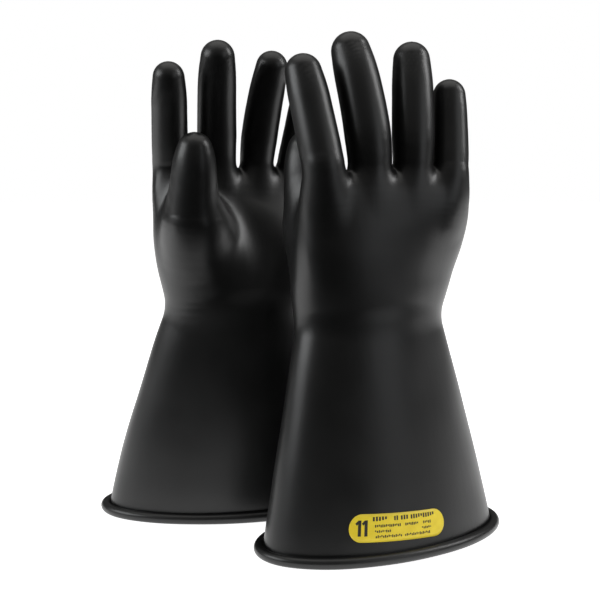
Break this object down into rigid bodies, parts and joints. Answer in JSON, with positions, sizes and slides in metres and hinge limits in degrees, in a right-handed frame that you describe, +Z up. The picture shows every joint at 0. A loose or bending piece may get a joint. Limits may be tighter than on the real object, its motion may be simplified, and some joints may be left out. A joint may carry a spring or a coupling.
{
  "type": "electrical insulating gloves",
  "caption": "Pair of long rubber insulating gloves with flared gauntlet sleeves, rolled cuff beads, curved fingers and small oval size labels, standing on their cuffs.",
  "frame": {"origin": "on the surface the gloves stand on, under the middle of the pair's bounding box", "axes": "+Z up from the cuffs to the fingertips, +X across the pair towards the right glove, +Y from the front right glove towards the left glove behind it"},
  "size_m": [0.3006, 0.2192, 0.3591],
  "materials": {
    "rubber": "satin dipped natural rubber",
    "size_label": "smooth printed label"
  },
  "bodies": {
    "right_gauntlet": {"right_gauntlet": "rubber", "right_cuff_roll": "rubber", "right_size_label": "size_label"},
    "right_hand": {"right_hand": "rubber"},
    "right_thumb": {"right_thumb": "rubber"},
    "right_index_finger": {"right_index_finger": "rubber"},
    "right_middle_finger": {"right_middle_finger": "rubber"},
    "right_ring_finger": {"right_ring_finger": "rubber"},
    "right_little_finger": {"right_little_finger": "rubber"},
    "left_gauntlet": {"left_gauntlet": "rubber", "left_cuff_roll": "rubber", "left_size_label": "size_label"},
    "left_hand": {"left_hand": "rubber"},
    "left_thumb": {"left_thumb": "rubber"},
    "left_index_finger": {"left_index_finger": "rubber"},
    "left_middle_finger": {"left_middle_finger": "rubber"},
    "left_ring_finger": {"left_ring_finger": "rubber"},
    "left_little_finger": {"left_little_finger": "rubber"}
  },
  "joints": [
    {"name": "left_glove_lift", "type": "slide", "parent": "right_gauntlet", "child": "left_gauntlet", "axis": [0, 0, 1], "range_m": [0, 0.38]},
    {"name": "right_wrist_flex", "type": "hinge", "parent": "right_gauntlet", "child": "right_hand", "pos_m": [0.0531, -0.02638, 0.158], "axis": [-0.8434, -0.5373, 0], "range_deg": [-18, 18], "stiffness_Nm_per_rad": 1.2},
    {"name": "right_thumb_flex", "type": "hinge", "parent": "right_hand", "child": "right_thumb", "pos_m": [0.00961, -0.02326, 0.222], "axis": [-0.887, 0.4617, 0], "range_deg": [-8, 30], "stiffness_Nm_per_rad": 0.25},
    {"name": "right_index_flex", "type": "hinge", "parent": "right_hand", "child": "right_index_finger", "pos_m": [0.01761, -0.05907, 0.265], "axis": [-0.8434, -0.5373, 0], "range_deg": [-10, 22], "stiffness_Nm_per_rad": 0.15},
    {"name": "right_middle_flex", "type": "hinge", "parent": "right_hand", "child": "right_middle_finger", "pos_m": [0.04958, -0.04226, 0.269], "axis": [-0.8434, -0.5373, 0], "range_deg": [-10, 32], "stiffness_Nm_per_rad": 0.15},
    {"name": "right_ring_flex", "type": "hinge", "parent": "right_hand", "child": "right_ring_finger", "pos_m": [0.08018, -0.03166, 0.268], "axis": [-0.8434, -0.5373, 0], "range_deg": [-10, 40], "stiffness_Nm_per_rad": 0.15},
    {"name": "right_little_flex", "type": "hinge", "parent": "right_hand", "child": "right_little_finger", "pos_m": [0.10755, -0.02252, 0.259], "axis": [-0.8434, -0.5373, 0], "range_deg": [-10, 40], "stiffness_Nm_per_rad": 0.15},
    {"name": "left_wrist_flex", "type": "hinge", "parent": "left_gauntlet", "child": "left_hand", "pos_m": [-0.04816, 0.03772, 0.158], "axis": [0.9816, 0.1908, 0], "range_deg": [-18, 18], "stiffness_Nm_per_rad": 1.2},
    {"name": "left_thumb_flex", "type": "hinge", "parent": "left_hand", "child": "left_thumb", "pos_m": [-0.07756, 0.00552, 0.222], "axis": [0.3256, 0.9455, 0], "range_deg": [-8, 30], "stiffness_Nm_per_rad": 0.25},
    {"name": "left_index_flex", "type": "hinge", "parent": "left_hand", "child": "left_index_finger", "pos_m": [-0.09641, 0.037, 0.265], "axis": [0.9816, 0.1908, 0], "range_deg": [-10, 22], "stiffness_Nm_per_rad": 0.15},
    {"name": "left_middle_flex", "type": "hinge", "parent": "left_hand", "child": "left_middle_finger", "pos_m": [-0.06164, 0.04682, 0.269], "axis": [0.9816, 0.1908, 0], "range_deg": [-10, 32], "stiffness_Nm_per_rad": 0.15},
    {"name": "left_ring_flex", "type": "hinge", "parent": "left_hand", "child": "left_ring_finger", "pos_m": [-0.03215, 0.06019, 0.268], "axis": [0.9816, 0.1908, 0], "range_deg": [-10, 40], "stiffness_Nm_per_rad": 0.15},
    {"name": "left_little_flex", "type": "hinge", "parent": "left_hand", "child": "left_little_finger", "pos_m": [-0.006, 0.0724, 0.259], "axis": [0.9816, 0.1908, 0], "range_deg": [-10, 40], "stiffness_Nm_per_rad": 0.15}
  ]
}
